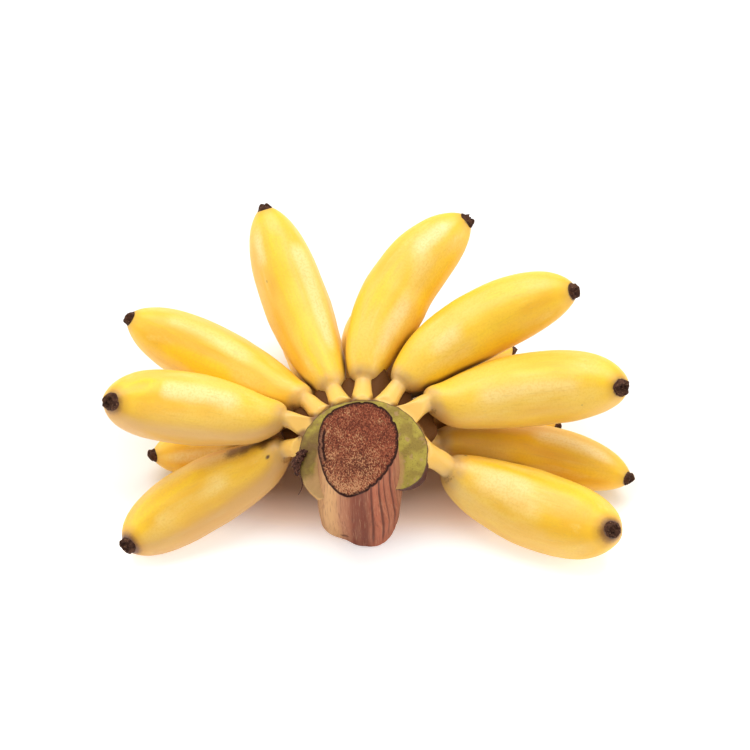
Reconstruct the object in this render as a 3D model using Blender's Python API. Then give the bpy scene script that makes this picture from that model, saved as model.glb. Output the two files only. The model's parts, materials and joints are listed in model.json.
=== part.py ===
"""Hand of baby bananas: two rows of fruit growing from one crown round a cut stalk.

Metres, +Z up.  The hand lies on a table with the cut end of its stalk facing up
and towards -Y.  Its origin is under the middle of the hand, on the table.
"""
import math

import bmesh
import bpy
from mathutils import Matrix, Vector

MM = 0.001
GAP = 0.3 * MM

# Crown: a collar round the stalk, in a plane that leans towards -Y.
CROWN_CENTRE = Vector((0.0, 0.0, 45.0 * MM))
CROWN_LEAN = 30.0
CROWN_RADIUS = 29.3 * MM
CROWN_SIDES = 40
# How far its edge draws in at the front: degrees round from +X, and inset.
CROWN_INSETS = (
    (-180.0, 0.0 * MM),
    (-155.0, 1.0 * MM),
    (-139.0, 2.8 * MM),
    (-126.0, 8.5 * MM),
    (-87.0, 13.5 * MM),
    (-45.0, 9.0 * MM),
    (-35.0, 5.2 * MM),
    (-21.0, 2.0 * MM),
    (15.0, 0.0 * MM),
    (180.0, 0.0 * MM),
)
# Height over the collar's plane, and share of the radius, from the bottom up.
CROWN_LEVELS = (
    (-25.0 * MM, 0.60),
    (-23.0 * MM, 0.80),
    (-19.5 * MM, 0.94),
    (-12.0 * MM, 0.99),
    (-2.0 * MM, 1.00),
    (4.0 * MM, 1.00),
    (5.5 * MM, 0.96),
    (8.0 * MM, 0.72),
)

# Stalk: a thick round stem, cut across at both ends.
STALK_CENTRE = Vector((-1.2 * MM, -6.4 * MM, 41.3 * MM))
STALK_LEAN = 13.0
STALK_SIDES = 32
# Distance along the stalk from the collar's plane, and radius.
STALK_LEVELS = (
    (-55.0 * MM, 17.0 * MM),
    (-32.0 * MM, 17.8 * MM),
    (-14.0 * MM, 18.9 * MM),
    (2.0 * MM, 19.0 * MM),
    (16.0 * MM, 18.6 * MM),
    (34.0 * MM, 18.2 * MM),
    (60.0 * MM, 18.0 * MM),
)
STALK_TOP = 30.7 * MM
STALK_TOP_RISE = 45.2
STALK_TOP_TURN = 20.0
STALK_BOTTOM = -34.5 * MM
STALK_BOTTOM_SLOPE = -0.05
STALK_GAP = 0.5 * MM

# Bananas: shape shared by all of them.
BANANA_SIDES = 15
ROOT_RADIUS = 26.0 * MM
ROOT_DEPTH = 3.0 * MM
ROOT_TIP_RADIUS = 2.5 * MM
NECK_FLARE = 0.7 * MM
NECK_ARCH_PLACE = 13.0 * MM
NECK_ARCH_WIDTH = 8.0 * MM
RIDGE_DEPTH = 0.035
SHOULDER = 0.48
TAPER_START = 0.54
TAPER_END = 1.02
HOOK_START = 0.80

# Each banana: place round the crown (degrees), height over the collar's plane
# (mm), heading and rise of its neck (degrees), how far it bends along its
# length and to which side (degrees, 0 is straight up), length, radius, neck
# length and neck radius (mm), how far the neck arches up the collar's slope
# (mm), and how far the end hooks beyond the even bend (degrees).
BANANAS = {
    "banana_upper_1": (167, 2, 166, -41.5, 69, 66, 99, 16.5, 13.5, 4.0, 3.4, 12),
    "banana_upper_2": (148, 2, 161, -5, 62, 45, 97, 16.5, 13.5, 3.9, 3.0, 15),
    "banana_upper_3": (130, 0, 133, -18, 63, 38, 110, 15.4, 13.5, 3.9, 3.4, 0),
    "banana_upper_4": (110, 0, 109, -10, 54, 4, 113, 15.4, 13.5, 4.0, 0.0, 0),
    "banana_upper_5": (90, -1, 89, 2, 73, -56, 110, 15.8, 13.5, 3.9, 0.0, 0),
    "banana_upper_6": (69, 0, 57, 2, 70, -61, 109.5, 15.9, 13.5, 3.8, 1.6, 5),
    "banana_upper_7": (46, 3, 31, -11, 69, -55, 108, 17.2, 13.5, 4.2, 4.2, 22),
    "banana_upper_8": (10, -1, 4, -47, 85, -36, 106, 18.3, 19, 5.0, 1.8, 22),
    "banana_lower_1": (166, -15, 135, -36, 76, 65, 84, 12.4, 13.5, 3.7, 0.0, 0),
    "banana_lower_2": (134, -16, 122, -43.5, 73, 38, 97, 13.1, 13.5, 3.7, 0.0, 0),
    "banana_lower_3": (110, -14, 112, -30, 39, -21, 97, 12.2, 13.5, 3.7, 0.0, 0),
    "banana_lower_4": (91, -17, 84, -50.8, 76, 9, 97, 13.8, 13.5, 3.7, 0.0, 0),
    "banana_lower_5": (72, -14, 75, -17, 66, -94, 97, 12.8, 13.5, 3.7, 0.0, 0),
    "banana_lower_6": (54, -15, 54, -31.5, 73, -84, 94, 11.6, 13.5, 3.7, 0.0, 0),
    "banana_lower_7": (27, -17, 26, -28, 69, -65, 109, 13.6, 13.5, 3.9, 0.0, 0),
}

# Flower end: the dried nub on a banana's tip.
NUB_SIDES = 12
NUB_RADIUS = 3.8 * MM
NUB_HEIGHT = 2.2 * MM

# Dried bract: a small crust on the left of the crown.
BRACT_CENTRE = Vector((-29.6 * MM, -3.8 * MM, 50.2 * MM))
BRACT_SIZE = Vector((2.4 * MM, 0.9 * MM, 6.0 * MM))
BRACT_LEAN = -50.0
BRACT_TILT = 18.0


def clear_scene():
    for thing in list(bpy.data.objects):
        bpy.data.objects.remove(thing, do_unlink=True)


def make_material(name, colour, roughness):
    mat = bpy.data.materials.new(name)
    mat.use_nodes = True
    shader = mat.node_tree.nodes["Principled BSDF"]
    shader.inputs["Base Color"].default_value = (*colour, 1.0)
    shader.inputs["Roughness"].default_value = roughness
    shader.inputs["Metallic"].default_value = 0.0
    return mat


def add_object(name, bm, mat, parent):
    bmesh.ops.recalc_face_normals(bm, faces=bm.faces)
    mesh = bpy.data.meshes.new(name)
    bm.to_mesh(mesh)
    bm.free()
    mesh.materials.append(mat)
    mesh.shade_smooth()
    mesh.set_sharp_from_angle(angle=math.radians(50))
    thing = bpy.data.objects.new(name, mesh)
    bpy.context.scene.collection.objects.link(thing)
    thing.parent = parent
    return thing


def skin_rings(rings):
    """Closed skin over a stack of rings that all have the same number of points."""
    bm = bmesh.new()
    loops = []
    for ring in rings:
        loops.append([bm.verts.new(point) for point in ring])
    for low, high in zip(loops, loops[1:]):
        count = len(low)
        for i in range(count):
            j = (i + 1) % count
            bm.faces.new((low[i], low[j], high[j], high[i]))
    bm.faces.new(list(reversed(loops[0])))
    bm.faces.new(loops[-1])
    return bm


def tilted_axes(lean):
    """Across, up the slope and square to a plane tipped towards -Y by lean degrees."""
    turn = Matrix.Rotation(math.radians(lean), 3, "X")
    return turn @ Vector((1, 0, 0)), turn @ Vector((0, 1, 0)), turn @ Vector((0, 0, 1))


def between(levels, place):
    """Value at a place on a polyline of (place, value) pairs."""
    for (low, first), (high, second) in zip(levels, levels[1:]):
        if place <= high:
            break
    return first + (second - first) * (place - low) / (high - low)


def hump(turn, middle, width):
    """A bell from 1 down to 0 round a turn in degrees, taken the short way round."""
    apart = (turn - middle + 180.0) % 360.0 - 180.0
    return math.exp(-(apart / width) ** 2)


def crown_radius(angle):
    """The collar is round, flatter behind, and draws in where the stalk stands free."""
    turn = (math.degrees(angle) + 180.0) % 360.0 - 180.0
    behind = max(0.0, math.sin(angle))
    wider = 0.8 * MM * math.cos(angle - math.radians(8))
    return CROWN_RADIUS + wider - 2.0 * MM * behind ** 4 - between(CROWN_INSETS, turn)


def crown_rings(grow):
    across, up, out = tilted_axes(CROWN_LEAN)
    rings = []
    for height, share in CROWN_LEVELS:
        lift = height + math.copysign(grow, height)
        ring = []
        for i in range(CROWN_SIDES):
            angle = 2 * math.pi * i / CROWN_SIDES
            radius = crown_radius(angle) * share + grow
            side = across * math.cos(angle) + up * math.sin(angle)
            ring.append(CROWN_CENTRE + side * radius + out * lift)
        rings.append(ring)
    return rings


def stalk_share(turn, along):
    """The stalk's section: narrow in front at its top, and with blunt corners at its foot."""
    top = 0.97 - 0.10 * hump(turn, 42, 38) + 0.05 * hump(turn, -18, 14)
    top += 0.13 * hump(turn, -130, 24) - 0.04 * hump(turn, -75, 14)
    foot = 1.03 + 0.08 * hump(turn, 33, 24) - 0.14 * hump(turn, -22, 20) + 0.05 * hump(turn, -62, 20)
    share = min(1.0, max(0.0, (20.0 * MM - along) / (45.0 * MM)))
    share = share * share * (3.0 - 2.0 * share)
    return top + (foot - top) * share


def stalk_rings(grow):
    across, up, out = tilted_axes(STALK_LEAN)
    rings = []
    for along, radius in STALK_LEVELS:
        ring = []
        for i in range(STALK_SIDES):
            turn = 360.0 * i / STALK_SIDES
            angle = math.radians(turn - 90.0)
            reach = radius * stalk_share(turn, along) + grow
            side = across * math.cos(angle) + up * math.sin(angle)
            ring.append(STALK_CENTRE + side * reach + out * along)
        rings.append(ring)
    return rings


def slice_off(bm, point, normal):
    """Cuts away what lies beyond a plane, and closes the cut with one flat face."""
    geometry = bm.verts[:] + bm.edges[:] + bm.faces[:]
    cut = bmesh.ops.bisect_plane(
        bm, geom=geometry, dist=1e-7, plane_co=point, plane_no=normal, clear_outer=True)
    edges = [item for item in cut["geom_cut"] if isinstance(item, bmesh.types.BMEdge)]
    if edges:
        bmesh.ops.contextual_create(bm, geom=edges)


def make_stalk(parent, mat):
    bm = skin_rings(stalk_rings(0.0))
    across, up, axis = tilted_axes(STALK_LEAN)
    rise = math.radians(STALK_TOP_RISE)
    turn = math.radians(STALK_TOP_TURN)
    facing = Vector((-math.sin(turn), -math.cos(turn), 0.0)) * math.cos(rise)
    facing.z = math.sin(rise)
    slice_off(bm, STALK_CENTRE + axis * STALK_TOP, facing)
    slice_off(bm, STALK_CENTRE + axis * STALK_BOTTOM, across * STALK_BOTTOM_SLOPE - axis)
    return add_object("stalk", bm, mat, parent)


def make_cutter(name, rings, parent):
    bm = skin_rings(rings)
    bmesh.ops.recalc_face_normals(bm, faces=bm.faces)
    mesh = bpy.data.meshes.new(name)
    bm.to_mesh(mesh)
    bm.free()
    cutter = bpy.data.objects.new(name, mesh)
    bpy.context.scene.collection.objects.link(cutter)
    cutter.parent = parent
    cutter.hide_render = True
    cutter.display_type = "WIRE"
    return cutter


def cut_with(thing, cutter):
    trim = thing.modifiers.new("Trim", "BOOLEAN")
    trim.operation = "DIFFERENCE"
    trim.solver = "EXACT"
    trim.object = cutter


def turned_share(s):
    """Share of the whole bend that is done at s: slow in the neck, then even."""
    slow, ramp_start, ramp_end = 0.35, 0.05, 0.20
    fast = 1.0 - slow
    ramp = ramp_end - ramp_start

    def area(x):
        inside = min(max(x - ramp_start, 0.0), ramp)
        return slow * x + fast * (inside ** 2 / (2 * ramp) + max(x - ramp_end, 0.0))

    return area(s) / area(1.0)


def banana_radius(x, length, radius, neck, neck_radius):
    """Radius at x along a banana: neck, shoulder, body and blunt end."""
    if x < 0.0:
        return ROOT_TIP_RADIUS
    if x <= neck:
        return neck_radius + NECK_FLARE * (1.0 - x / neck) ** 1.5
    t = (x - neck) / (length - neck)
    u = min(t / SHOULDER, 1.0)
    full = neck_radius + (radius - neck_radius) * (1.0 - (1.0 - u) ** 1.28) ** 0.56
    v = max(0.0, (t - TAPER_START) / (TAPER_END - TAPER_START))
    return full * (1.0 - v ** 2.8) ** 0.62


def banana_stations(length, neck):
    """Places along a banana for its rings, closer together at the neck and the tip."""
    stations = [-ROOT_DEPTH, 0.0, 0.5 * neck, neck]
    body = length - neck
    for share in (0.04, 0.10, 0.18, 0.28, 0.40, 0.52, 0.63, 0.73, 0.81, 0.875, 0.925, 0.965, 1.0):
        stations.append(neck + body * share)
    return stations


def banana_path(length, bend, hook):
    """Point and direction at each station, in the banana's own frame.

    The root is at the origin, the neck sets off along +X and the bend is towards +Z.
    """
    steps = 240
    step = length / steps

    def angle_at(s):
        end = min(1.0, max(0.0, (s - HOOK_START) / (1.0 - HOOK_START)))
        return bend * turned_share(s) + hook * end ** 1.5

    points = [Vector((0.0, 0.0, 0.0))]
    for i in range(steps):
        angle = angle_at((i + 0.5) / steps)
        points.append(points[-1] + Vector((math.cos(angle), 0.0, math.sin(angle))) * step)

    def at(x):
        if x <= 0.0:
            return Vector((x, 0.0, 0.0)), 0.0
        place = min(x / step, steps - 1e-9)
        low = int(place)
        point = points[low].lerp(points[low + 1], place - low)
        return point, angle_at(x / length)

    return at


def banana_rings(length, radius, neck, neck_radius, arch, at):
    """The skin's rings; the neck is pushed sideways by arch, a vector in the banana's frame."""
    rings = []
    for x in banana_stations(length, neck):
        centre, angle = at(x)
        centre = centre + arch * math.exp(-((x - NECK_ARCH_PLACE) / NECK_ARCH_WIDTH) ** 2)
        inward = Vector((-math.sin(angle), 0.0, math.cos(angle)))
        sideways = Vector((0.0, 1.0, 0.0))
        size = banana_radius(x, length, radius, neck, neck_radius)
        ridge = RIDGE_DEPTH * min(1.0, max(0.0, (x - neck) / (0.3 * length)))
        ring = []
        for i in range(BANANA_SIDES):
            turn = 2 * math.pi * i / BANANA_SIDES
            reach = size * (1.0 - ridge * (1.0 + math.cos(5 * turn)) / 2)
            ring.append(centre + (inward * math.cos(turn) + sideways * math.sin(turn)) * reach)
        rings.append(ring)
    return rings


def banana_frame(ring_angle, lift, heading, rise, roll):
    """Where a banana's own frame stands in the hand."""
    across, up, out = tilted_axes(CROWN_LEAN)
    angle = math.radians(ring_angle)
    root = CROWN_CENTRE + (across * math.cos(angle) + up * math.sin(angle)) * ROOT_RADIUS
    root = root + out * (lift * MM)
    heading = math.radians(heading)
    rise = math.radians(rise)
    roll = math.radians(roll)
    level = Vector((math.cos(heading), math.sin(heading), 0.0))
    forward = level * math.cos(rise) + Vector((0, 0, math.sin(rise)))
    side = Vector((0, 0, 1)).cross(forward).normalized()
    above = forward.cross(side)
    bend_to = above * math.cos(roll) + side * math.sin(roll)
    frame = Matrix((forward, bend_to.cross(forward), bend_to)).transposed().to_4x4()
    frame.translation = root
    return frame


def make_banana(name, spec, parent, mat):
    ring_angle, lift, heading, rise, bend, roll, length, radius, neck, neck_radius, arch, hook = spec
    frame = banana_frame(ring_angle, lift, heading, rise, roll)
    to_local = frame.inverted()
    up_slope = to_local.to_3x3() @ tilted_axes(CROWN_LEAN)[1]
    at = banana_path(length * MM, math.radians(bend), math.radians(hook))
    sizes = [size * MM for size in (length, radius, neck, neck_radius)]
    bm = skin_rings(banana_rings(*sizes, up_slope * arch * MM, at))
    floor_normal = to_local.to_3x3() @ Vector((0, 0, -1))
    slice_off(bm, to_local @ Vector((0, 0, 0)), floor_normal)
    fruit = add_object(name, bm, mat, parent)
    fruit.matrix_local = frame
    return fruit


def make_flower_end(name, spec, parent, mat):
    """A short, slightly ragged, dark cone on the flat tip of a banana."""
    ring_angle, lift, heading, rise, bend, roll, length, _, _, _, _, hook = spec
    frame = banana_frame(ring_angle, lift, heading, rise, roll)
    tip, angle = banana_path(length * MM, math.radians(bend), math.radians(hook))(length * MM)
    rings = []
    for height, share in ((0.0, 0.92), (0.35, 1.0), (0.75, 0.82), (1.0, 0.45)):
        ring = []
        for i in range(NUB_SIDES):
            turn = 2 * math.pi * i / NUB_SIDES
            ragged = 1.0 + 0.05 * math.sin(3 * turn + ring_angle) + 0.03 * math.sin(5 * turn + roll)
            reach = NUB_RADIUS * share * ragged
            ring.append(Vector((GAP + NUB_HEIGHT * height, reach * math.sin(turn), reach * math.cos(turn))))
        rings.append(ring)
    nub = add_object(name, skin_rings(rings), mat, parent)
    nub.matrix_local = frame @ Matrix.Translation(tip) @ Matrix.Rotation(-angle, 4, "Y")
    return nub


def make_bract(parent, mat):
    """A thin shrivelled flake, wider at the top and bent a little."""
    bm = bmesh.new()
    bmesh.ops.create_icosphere(bm, subdivisions=2, radius=1.0)
    for vert in bm.verts:
        x, y, z = vert.co
        lumpy = 1.0 + 0.12 * math.sin(4 * z + 2 * x) + 0.08 * math.sin(7 * x - 3 * z)
        width = 0.75 + 0.25 * z
        vert.co = Vector((
            BRACT_SIZE.x * (x * width * lumpy + 0.5 * z * z),
            BRACT_SIZE.y * y * lumpy,
            BRACT_SIZE.z * z * lumpy))
    flake = add_object("dried_bract", bm, mat, parent)
    lean = Matrix.Rotation(math.radians(BRACT_LEAN), 4, "X")
    tilt = Matrix.Rotation(math.radians(BRACT_TILT), 4, "Y")
    flake.matrix_local = Matrix.Translation(BRACT_CENTRE) @ lean @ tilt
    return flake


def stand_on_origin(hand, things):
    """Puts the hand's origin under the middle of its box, on the table."""
    bpy.context.view_layer.update()
    corners = [thing.matrix_world @ vert.co for thing in things for vert in thing.data.vertices]
    low = [min(corner[k] for corner in corners) for k in range(3)]
    high = [max(corner[k] for corner in corners) for k in range(3)]
    hand.location = (-(low[0] + high[0]) / 2, -(low[1] + high[1]) / 2, -low[2])
    bpy.context.view_layer.update()


def build():
    clear_scene()
    hand = bpy.data.objects.new("hand", None)
    bpy.context.scene.collection.objects.link(hand)

    peel = make_material("peel", (0.90, 0.58, 0.08), 0.45)
    bark = make_material("stalk", (0.30, 0.11, 0.06), 0.80)
    green = make_material("crown", (0.30, 0.26, 0.08), 0.60)
    husk = make_material("flower_end", (0.05, 0.025, 0.018), 0.90)
    flake = make_material("bract", (0.07, 0.035, 0.025), 0.90)

    stalk = make_stalk(hand, bark)
    stalk_cutter = make_cutter("cutter_stalk", stalk_rings(STALK_GAP), hand)
    crown_cutter = make_cutter("cutter_crown", crown_rings(GAP), hand)
    crown = add_object("crown", skin_rings(crown_rings(0.0)), green, hand)
    cut_with(crown, stalk_cutter)

    fruit = []
    nubs = []
    for name, spec in BANANAS.items():
        banana = make_banana(name, spec, hand, peel)
        cut_with(banana, crown_cutter)
        fruit.append(banana)
        nubs.append(make_flower_end(name.replace("banana", "flower_end"), spec, hand, husk))

    bract = make_bract(hand, flake)
    stand_on_origin(hand, [stalk, crown, bract, *fruit, *nubs])


build()
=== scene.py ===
import json
import math
import random

import bmesh
import bpy
from mathutils import Matrix, Vector, noise
from mathutils.bvhtree import BVHTree

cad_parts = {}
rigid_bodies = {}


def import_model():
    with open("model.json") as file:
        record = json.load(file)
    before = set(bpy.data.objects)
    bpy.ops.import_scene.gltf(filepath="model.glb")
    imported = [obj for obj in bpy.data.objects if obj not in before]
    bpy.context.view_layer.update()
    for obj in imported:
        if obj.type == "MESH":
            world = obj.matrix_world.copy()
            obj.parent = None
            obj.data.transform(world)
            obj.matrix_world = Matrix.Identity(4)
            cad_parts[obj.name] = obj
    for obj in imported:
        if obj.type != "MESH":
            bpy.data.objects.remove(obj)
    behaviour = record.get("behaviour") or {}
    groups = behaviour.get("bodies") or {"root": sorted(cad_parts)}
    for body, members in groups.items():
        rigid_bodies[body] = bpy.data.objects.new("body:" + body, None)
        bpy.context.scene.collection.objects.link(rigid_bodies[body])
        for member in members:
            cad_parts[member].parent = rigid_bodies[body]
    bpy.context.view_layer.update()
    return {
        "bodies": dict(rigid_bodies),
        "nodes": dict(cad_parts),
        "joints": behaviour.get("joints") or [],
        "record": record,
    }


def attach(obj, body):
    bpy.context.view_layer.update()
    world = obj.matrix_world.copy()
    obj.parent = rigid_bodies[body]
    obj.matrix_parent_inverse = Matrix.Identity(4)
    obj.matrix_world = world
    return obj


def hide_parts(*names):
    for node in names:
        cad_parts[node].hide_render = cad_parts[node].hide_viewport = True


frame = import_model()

MM = 0.001

# Camera

CAMERA_PLACE = Vector((-0.00020, -0.62660, 0.79790))
CAMERA_TIP = 40.0
CAMERA_LENS = 101.33


def place_camera():
    """The photograph's own view: from in front, 40 degrees off straight down."""
    camera = bpy.data.objects.new("camera", bpy.data.cameras.new("camera"))
    camera.data.lens = CAMERA_LENS
    camera.data.sensor_width = 36.0
    camera.location = CAMERA_PLACE
    camera.rotation_euler = (math.radians(CAMERA_TIP), 0.0, 0.0)
    bpy.context.scene.collection.objects.link(camera)
    bpy.context.scene.camera = camera


place_camera()

# The hand's own measures

# The solids stand centred over the origin, this far from the crown's own centre line.
HAND_PLACE = Vector((-6.05 * MM, -45.94 * MM, 0.0))

CROWN_CENTRE = HAND_PLACE + Vector((0.0, 0.0, 45.0 * MM))
CROWN_LEAN = 30.0
CROWN_RADIUS = 29.3 * MM
CROWN_SIDES = 288
# How far its edge draws in at the front: degrees round from +X, and inset.
CROWN_INSETS = (
    (-180.0, 0.0 * MM),
    (-155.0, 1.0 * MM),
    (-139.0, 2.8 * MM),
    (-126.0, 8.5 * MM),
    (-87.0, 13.5 * MM),
    (-45.0, 11.5 * MM),
    (-35.0, 7.6 * MM),
    (-27.0, 5.2 * MM),
    (-15.0, 2.2 * MM),
    (15.0, 0.0 * MM),
    (180.0, 0.0 * MM),
)

STALK_CENTRE = HAND_PLACE + Vector((-1.2 * MM, -6.4 * MM, 41.3 * MM))
STALK_LEAN = 13.0
STALK_SIDES = 288
STALK_LEVELS = (
    (-55.0 * MM, 17.0 * MM),
    (-32.0 * MM, 17.8 * MM),
    (-14.0 * MM, 18.9 * MM),
    (2.0 * MM, 19.0 * MM),
    (16.0 * MM, 18.6 * MM),
    (34.0 * MM, 18.2 * MM),
    (60.0 * MM, 18.0 * MM),
)
STALK_TOP = 32.2 * MM
STALK_TOP_RISE = 45.2
STALK_TOP_TURN = 20.0
STALK_BOTTOM = -36.0 * MM
STALK_BOTTOM_SLOPE = -0.05

BANANA_SIDES = 60
ROOT_RADIUS = 26.0 * MM
NECK_ARCH_PLACE = 13.0 * MM
NECK_ARCH_WIDTH = 8.0 * MM
NECK_FLARE = 2.2 * MM
NECK_FLARE_LENGTH = 12.0 * MM
RIDGE_DEPTH = 0.035
SHOULDER = 0.48
TAPER_START = 0.54
TAPER_END = 1.02
HOOK_START = 0.80

# Place round the crown (degrees), height over the collar's plane (mm), heading and rise of the
# neck (degrees), bend and its side (degrees), length, radius, neck length and neck radius (mm),
# the neck's arch up the collar's slope (mm), and the end's hook beyond the even bend (degrees).
BANANAS = {
    "upper_1": (167, 2, 166, -41.5, 69, 66, 100, 16.7, 13.5, 4.0, 3.4, 12),
    "upper_2": (148, 2, 161, -5, 62, 45, 98, 16.7, 13.5, 3.9, 3.0, 15),
    "upper_3": (130, 0, 133, -18, 63, 38, 110.5, 15.7, 13.5, 3.9, 3.4, 0),
    "upper_4": (110, 0, 109, -10, 54, 4, 113, 15.7, 13.5, 4.0, 0.0, 0),
    "upper_5": (90, -1, 89, 2, 73, -56, 110, 15.9, 13.5, 3.9, 0.0, 0),
    "upper_6": (69, 0, 57, 2, 70, -61, 109.5, 16.1, 13.5, 3.8, 1.6, 5),
    "upper_7": (46, 3, 31, -11, 69, -55, 108, 17.3, 13.5, 4.2, 4.2, 22),
    "upper_8": (10, -1, 4, -47, 85, -36, 106, 18.4, 19, 5.0, 1.8, 22),
    "lower_1": (166, -15, 135, -36, 76, 65, 84, 12.5, 13.5, 3.7, 0.0, 0),
    "lower_2": (134, -16, 122, -43.5, 73, 38, 97, 13.2, 13.5, 3.7, 0.0, 0),
    "lower_3": (110, -14, 112, -30, 39, -21, 97, 12.3, 13.5, 3.7, 0.0, 0),
    "lower_4": (91, -17, 84, -50.8, 76, 9, 97, 14.0, 13.5, 3.7, 0.0, 0),
    "lower_5": (72, -14, 75, -17, 66, -94, 97, 12.9, 13.5, 3.7, 0.0, 0),
    "lower_6": (54, -15, 54, -31.5, 73, -84, 94, 12.0, 13.5, 3.7, 0.0, 0),
    "lower_7": (27, -17, 26, -28, 69, -65, 109, 13.7, 13.5, 3.9, 0.0, 0),
}
# Nubs that are smaller than the rest.
SMALL_NUBS = {"upper_3": 0.9, "upper_4": 0.9, "lower_5": 0.65, "lower_6": 0.65, "lower_4": 0.7,
              "lower_1": 0.8, "lower_7": 0.8}

# How much the nubs narrow towards their end: a share for each mm, on two of them and the rest.
SLIM_NUBS = {"upper_4": 0.22, "upper_5": 0.24}
SLIM_REST = 0.05

NUB_SIDES = 48
NUB_RADIUS = 3.7 * MM

BRACT_CENTRE = HAND_PLACE + Vector((-28.6 * MM, -3.8 * MM, 50.2 * MM))

# Dark bruises and painted contact shadows on the peels, where fruits lie on one another: where from the
# crown's centre line, and how wide (mm).
BRUISES_AND_SHADOWS = (
    ((-59.0, 10.0, 39.0), 4.6), ((-54.0, 10.5, 40.5), 4.6), ((-44.5, 9.0, 45.0), 2.6),
    ((-31.5, 27.0, 51.5), 3.0))
# Long soft stripes on the peels, partly their own streaks and partly painted light: pale ones
# are painted highlights and sheen, rich ones lift shaded sides. Degrees round from the inner
# side of the bend, from and to (mm along the fruit), and how pale (above nought) or rich (below
# nought) they are.
STRIPES_AND_LIGHT = {
    "upper_1": ((306, 54, 96, -1.0), (342, 40, 90, 0.5), (292, 30, 50, 0.4)),
    "upper_2": ((326, 36, 82, 1.0), (310, 80, 100, -1.4)),
    "upper_3": ((324, 45, 98, 0.6), (16, 52, 94, -0.9)),
    "upper_4": ((333, 30, 92, 1.0), (10, 8, 40, -0.4), (8, 8, 102, -0.9), (45, 84, 104, 0.8)),
    "upper_5": ((21, 26, 60, 0.7), (60, 82, 106, 0.9), (345, 55, 98, -0.9), (60, 45, 70, -0.7),
                (36, 60, 84, 0.4)),
    "upper_6": ((72, 70, 102, -0.3), (8, 55, 109, -0.7), (345, 20, 80, -0.7), (42, 32, 54, 0.5)),
    "upper_7": ((58, 55, 106, 0.1), (330, 45, 84, -0.5), (18, 36, 92, 0.6)),
    "upper_8": ((58, 32, 98, -0.7), (20, 16, 60, 0.4), (350, 28, 70, 0.5), (316, 20, 80, 0.4)),
    "lower_1": ((5, 40, 84, 1.0),),
    "lower_7": ((54, 60, 104, 0.9), (0, 50, 100, -0.6), (20, 30, 60, -0.3)),
}
STRIPE_WIDTH = 20.0
SCAR_AND_SHADE_WIDTH = 42.0
# Fruits that are fuller or slimmer in one or more places: degrees round, place along (mm) and
# by how much (mm).  Each place is this wide (degrees) and this long (mm).
FULLER = {
    "upper_5": ((308, 46, 1.9), (348, 44, 1.3)),
    "upper_6": ((98, 33, 1.8),),
    "lower_3": ((96, 54, -2.4),)}
FULLER_WIDTH = 42.0
FULLER_LENGTH = 18.0
# Fruits whose skin is smoky round the flower end: partly the peel's own browning, partly painted shade by the
# nub.
SMOKY_AND_SHADED = {"upper_1": 1.0, "upper_8": 0.8, "upper_2": 0.6, "upper_7": 0.3}
# How much painted shade a lower fruit has by the crown, where it lies deep between the others: 1 on the rest.
DEEP_SHADE = {"lower_7": 0.25}
# How far past the neck (mm) that painted shade reaches.
DEEP_SHADE_TO = {"lower_4": 52.0, "lower_5": 32.0}
DEEP_SHADE_REST = 24.0
# How much painted shade the fruits have on their low front sides, and which way those face.
LOW_SIDE_SHADE = {"upper_1": 1.6, "upper_2": 1.2, "upper_7": 0.5, "upper_8": 0.3}
LOW_SIDE_SHADE_REST = 0.2
LOW_FRONT = Vector((0.0, -0.75, -0.65))
# That painted shade is deeper by the neck: where past it and how widely (mm), and by how much.
NECK_SHADE = (2.5, 6.0)
NECK_SHADE_DEPTH = 0.55
# How near another fruit has to be before the skin there gets painted contact shade.
CONTACT_SHADE_REACH = 3.6 * MM

# Lamps: name, strength, how wide it looks (degrees) and where it stands.
LAMPS = (
    ("key", 1.90, 50.0, (-0.05, 0.35, 1.0)),
    ("left", 0.75, 50.0, (-1.0, 0.15, 0.4)),
    ("right", 1.05, 50.0, (1.0, -0.2, 0.45)))
# The sky's strength: level part, part that grows towards the back, part that grows upwards.
SKY = (0.60, 0.34, 0.12)
# The table glows towards the front, from the first place along Y to the second.
GLOW_SPAN = (-0.024, -0.056)
# Painted warm shade on the table, as light off the peels would give: how near the crown, and how far towards
# the front it ends.
WARM_SHADE_CENTRE = (0.0, -0.020, 0.0)
WARM_SHADE_SPAN = (0.085, 0.045)
WARM_SHADE_FRONT = (-0.062, -0.040)


# Material maths


class Signal:
    """What comes out of a shader node.  Arithmetic on it adds Math nodes."""

    def __init__(self, finish, socket):
        self.finish = finish
        self.socket = socket

    def math(self, operation, first, second):
        return self.finish.add("ShaderNodeMath", {"operation": operation}, {0: first, 1: second})

    def __add__(self, other):
        return self.math("ADD", self, other)

    def __mul__(self, other):
        return self.math("MULTIPLY", self, other)

    def __sub__(self, other):
        return self.math("SUBTRACT", self, other)

    def __rsub__(self, other):
        return self.math("SUBTRACT", other, self)

    __radd__ = __add__
    __rmul__ = __mul__

    def ramp(self, low, high):
        """Smooth step from 0 at low to 1 at high."""
        return self.finish.add(
            "ShaderNodeMapRange", {"interpolation_type": "SMOOTHSTEP"},
            {"Value": self, "From Min": low, "From Max": high})


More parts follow.
